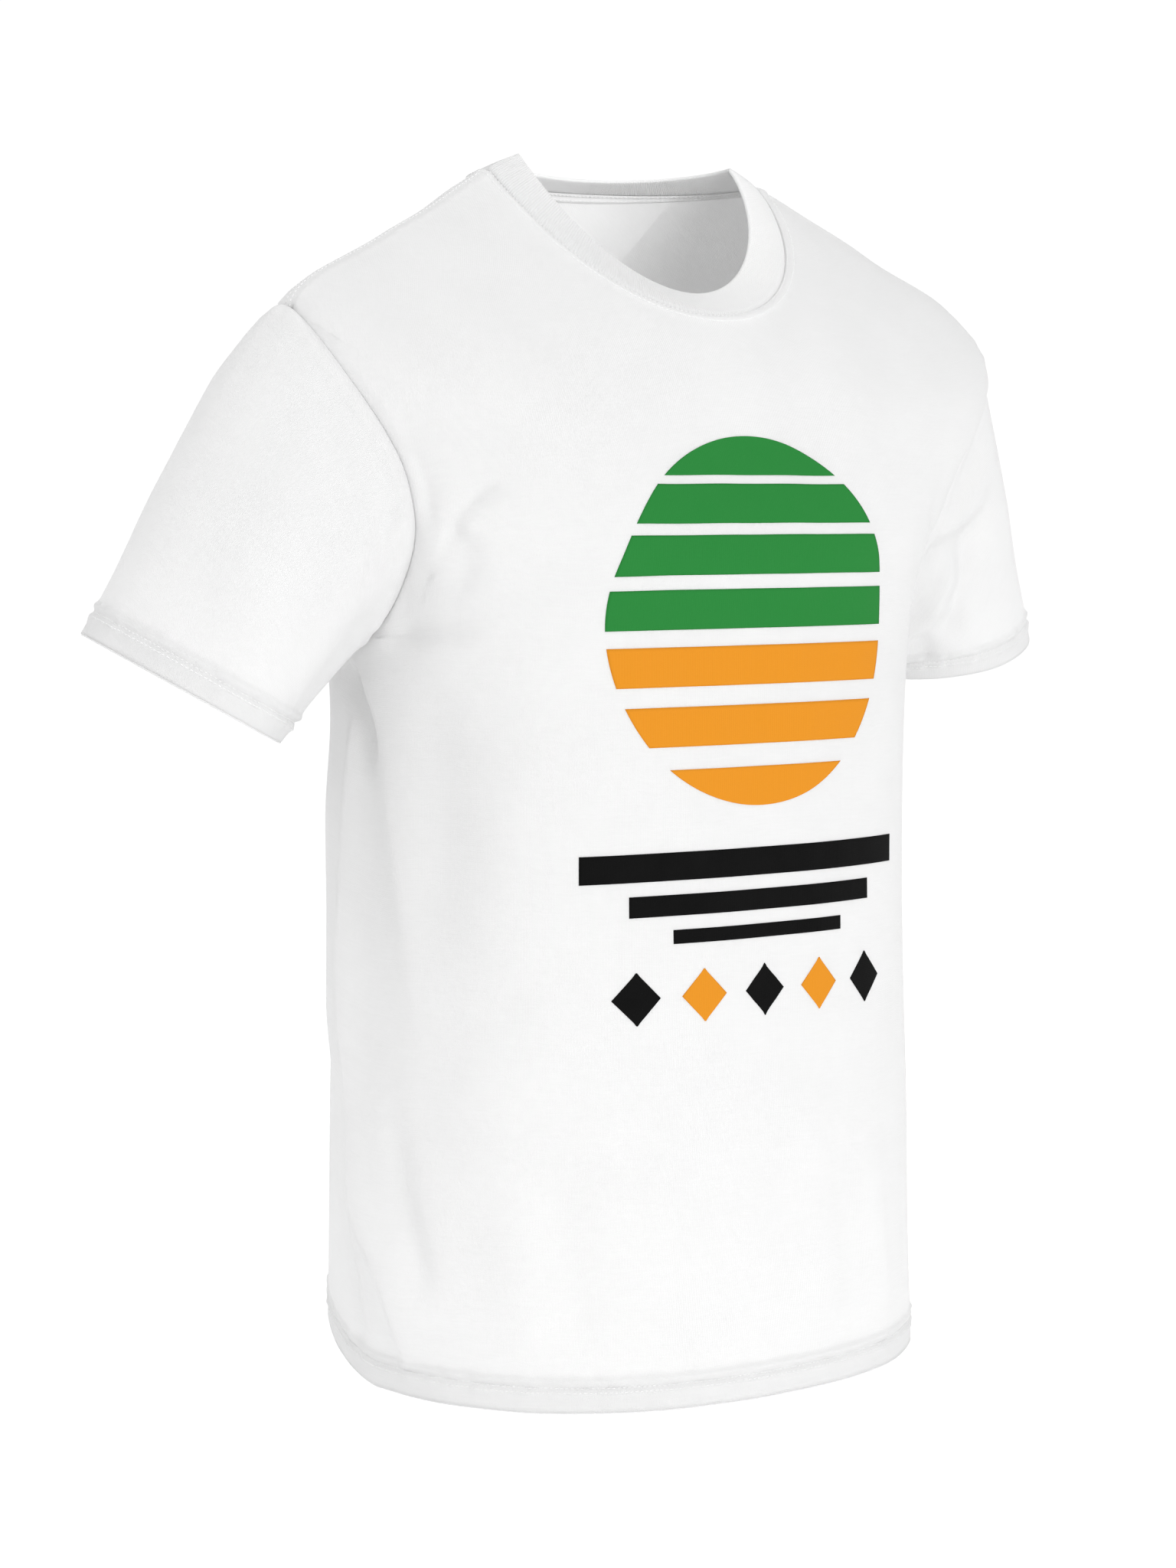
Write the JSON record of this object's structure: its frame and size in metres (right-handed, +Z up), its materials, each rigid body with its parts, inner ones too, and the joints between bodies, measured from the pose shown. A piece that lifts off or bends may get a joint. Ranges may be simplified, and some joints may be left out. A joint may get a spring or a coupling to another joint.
{
  "type": "t-shirt",
  "caption": "White short-sleeved crew-neck T-shirt, standing open as worn, with a ribbed collar, stitched hems and a printed front.",
  "frame": {"origin": "the middle of the neck, level with the highest points of the shoulder seams, where the wearer holds the shirt", "axes": "+Z up, -Y out of the front of the shirt, +X to the wearer's left"},
  "size_m": [0.7005, 0.289, 0.7197],
  "materials": {
    "jersey": "white cotton single jersey, matt, fine vertical wales",
    "rib": "white cotton one-by-one rib, matt",
    "tape": "white herringbone cotton tape",
    "green_ink": "screen-printed ink, satin",
    "orange_ink": "screen-printed ink, satin",
    "black_ink": "screen-printed ink, satin"
  },
  "bodies": {
    "root": {"front_panel": "jersey", "back_panel": "jersey", "right_sleeve": "jersey", "right_sleeve_hem": "jersey", "left_sleeve": "jersey", "left_sleeve_hem": "jersey", "collar": "rib", "body_hem": "jersey", "neck_tape": "tape", "sun_stripe_1": "green_ink", "sun_stripe_2": "green_ink", "sun_stripe_3": "green_ink", "sun_stripe_4": "green_ink", "sun_stripe_5": "orange_ink", "sun_stripe_6": "orange_ink", "sun_stripe_7": "orange_ink", "bar_1": "black_ink", "bar_2": "black_ink", "bar_3": "black_ink", "diamond_1": "black_ink", "diamond_2": "orange_ink", "diamond_3": "black_ink", "diamond_4": "orange_ink", "diamond_5": "black_ink"}
  },
  "joints": []
}
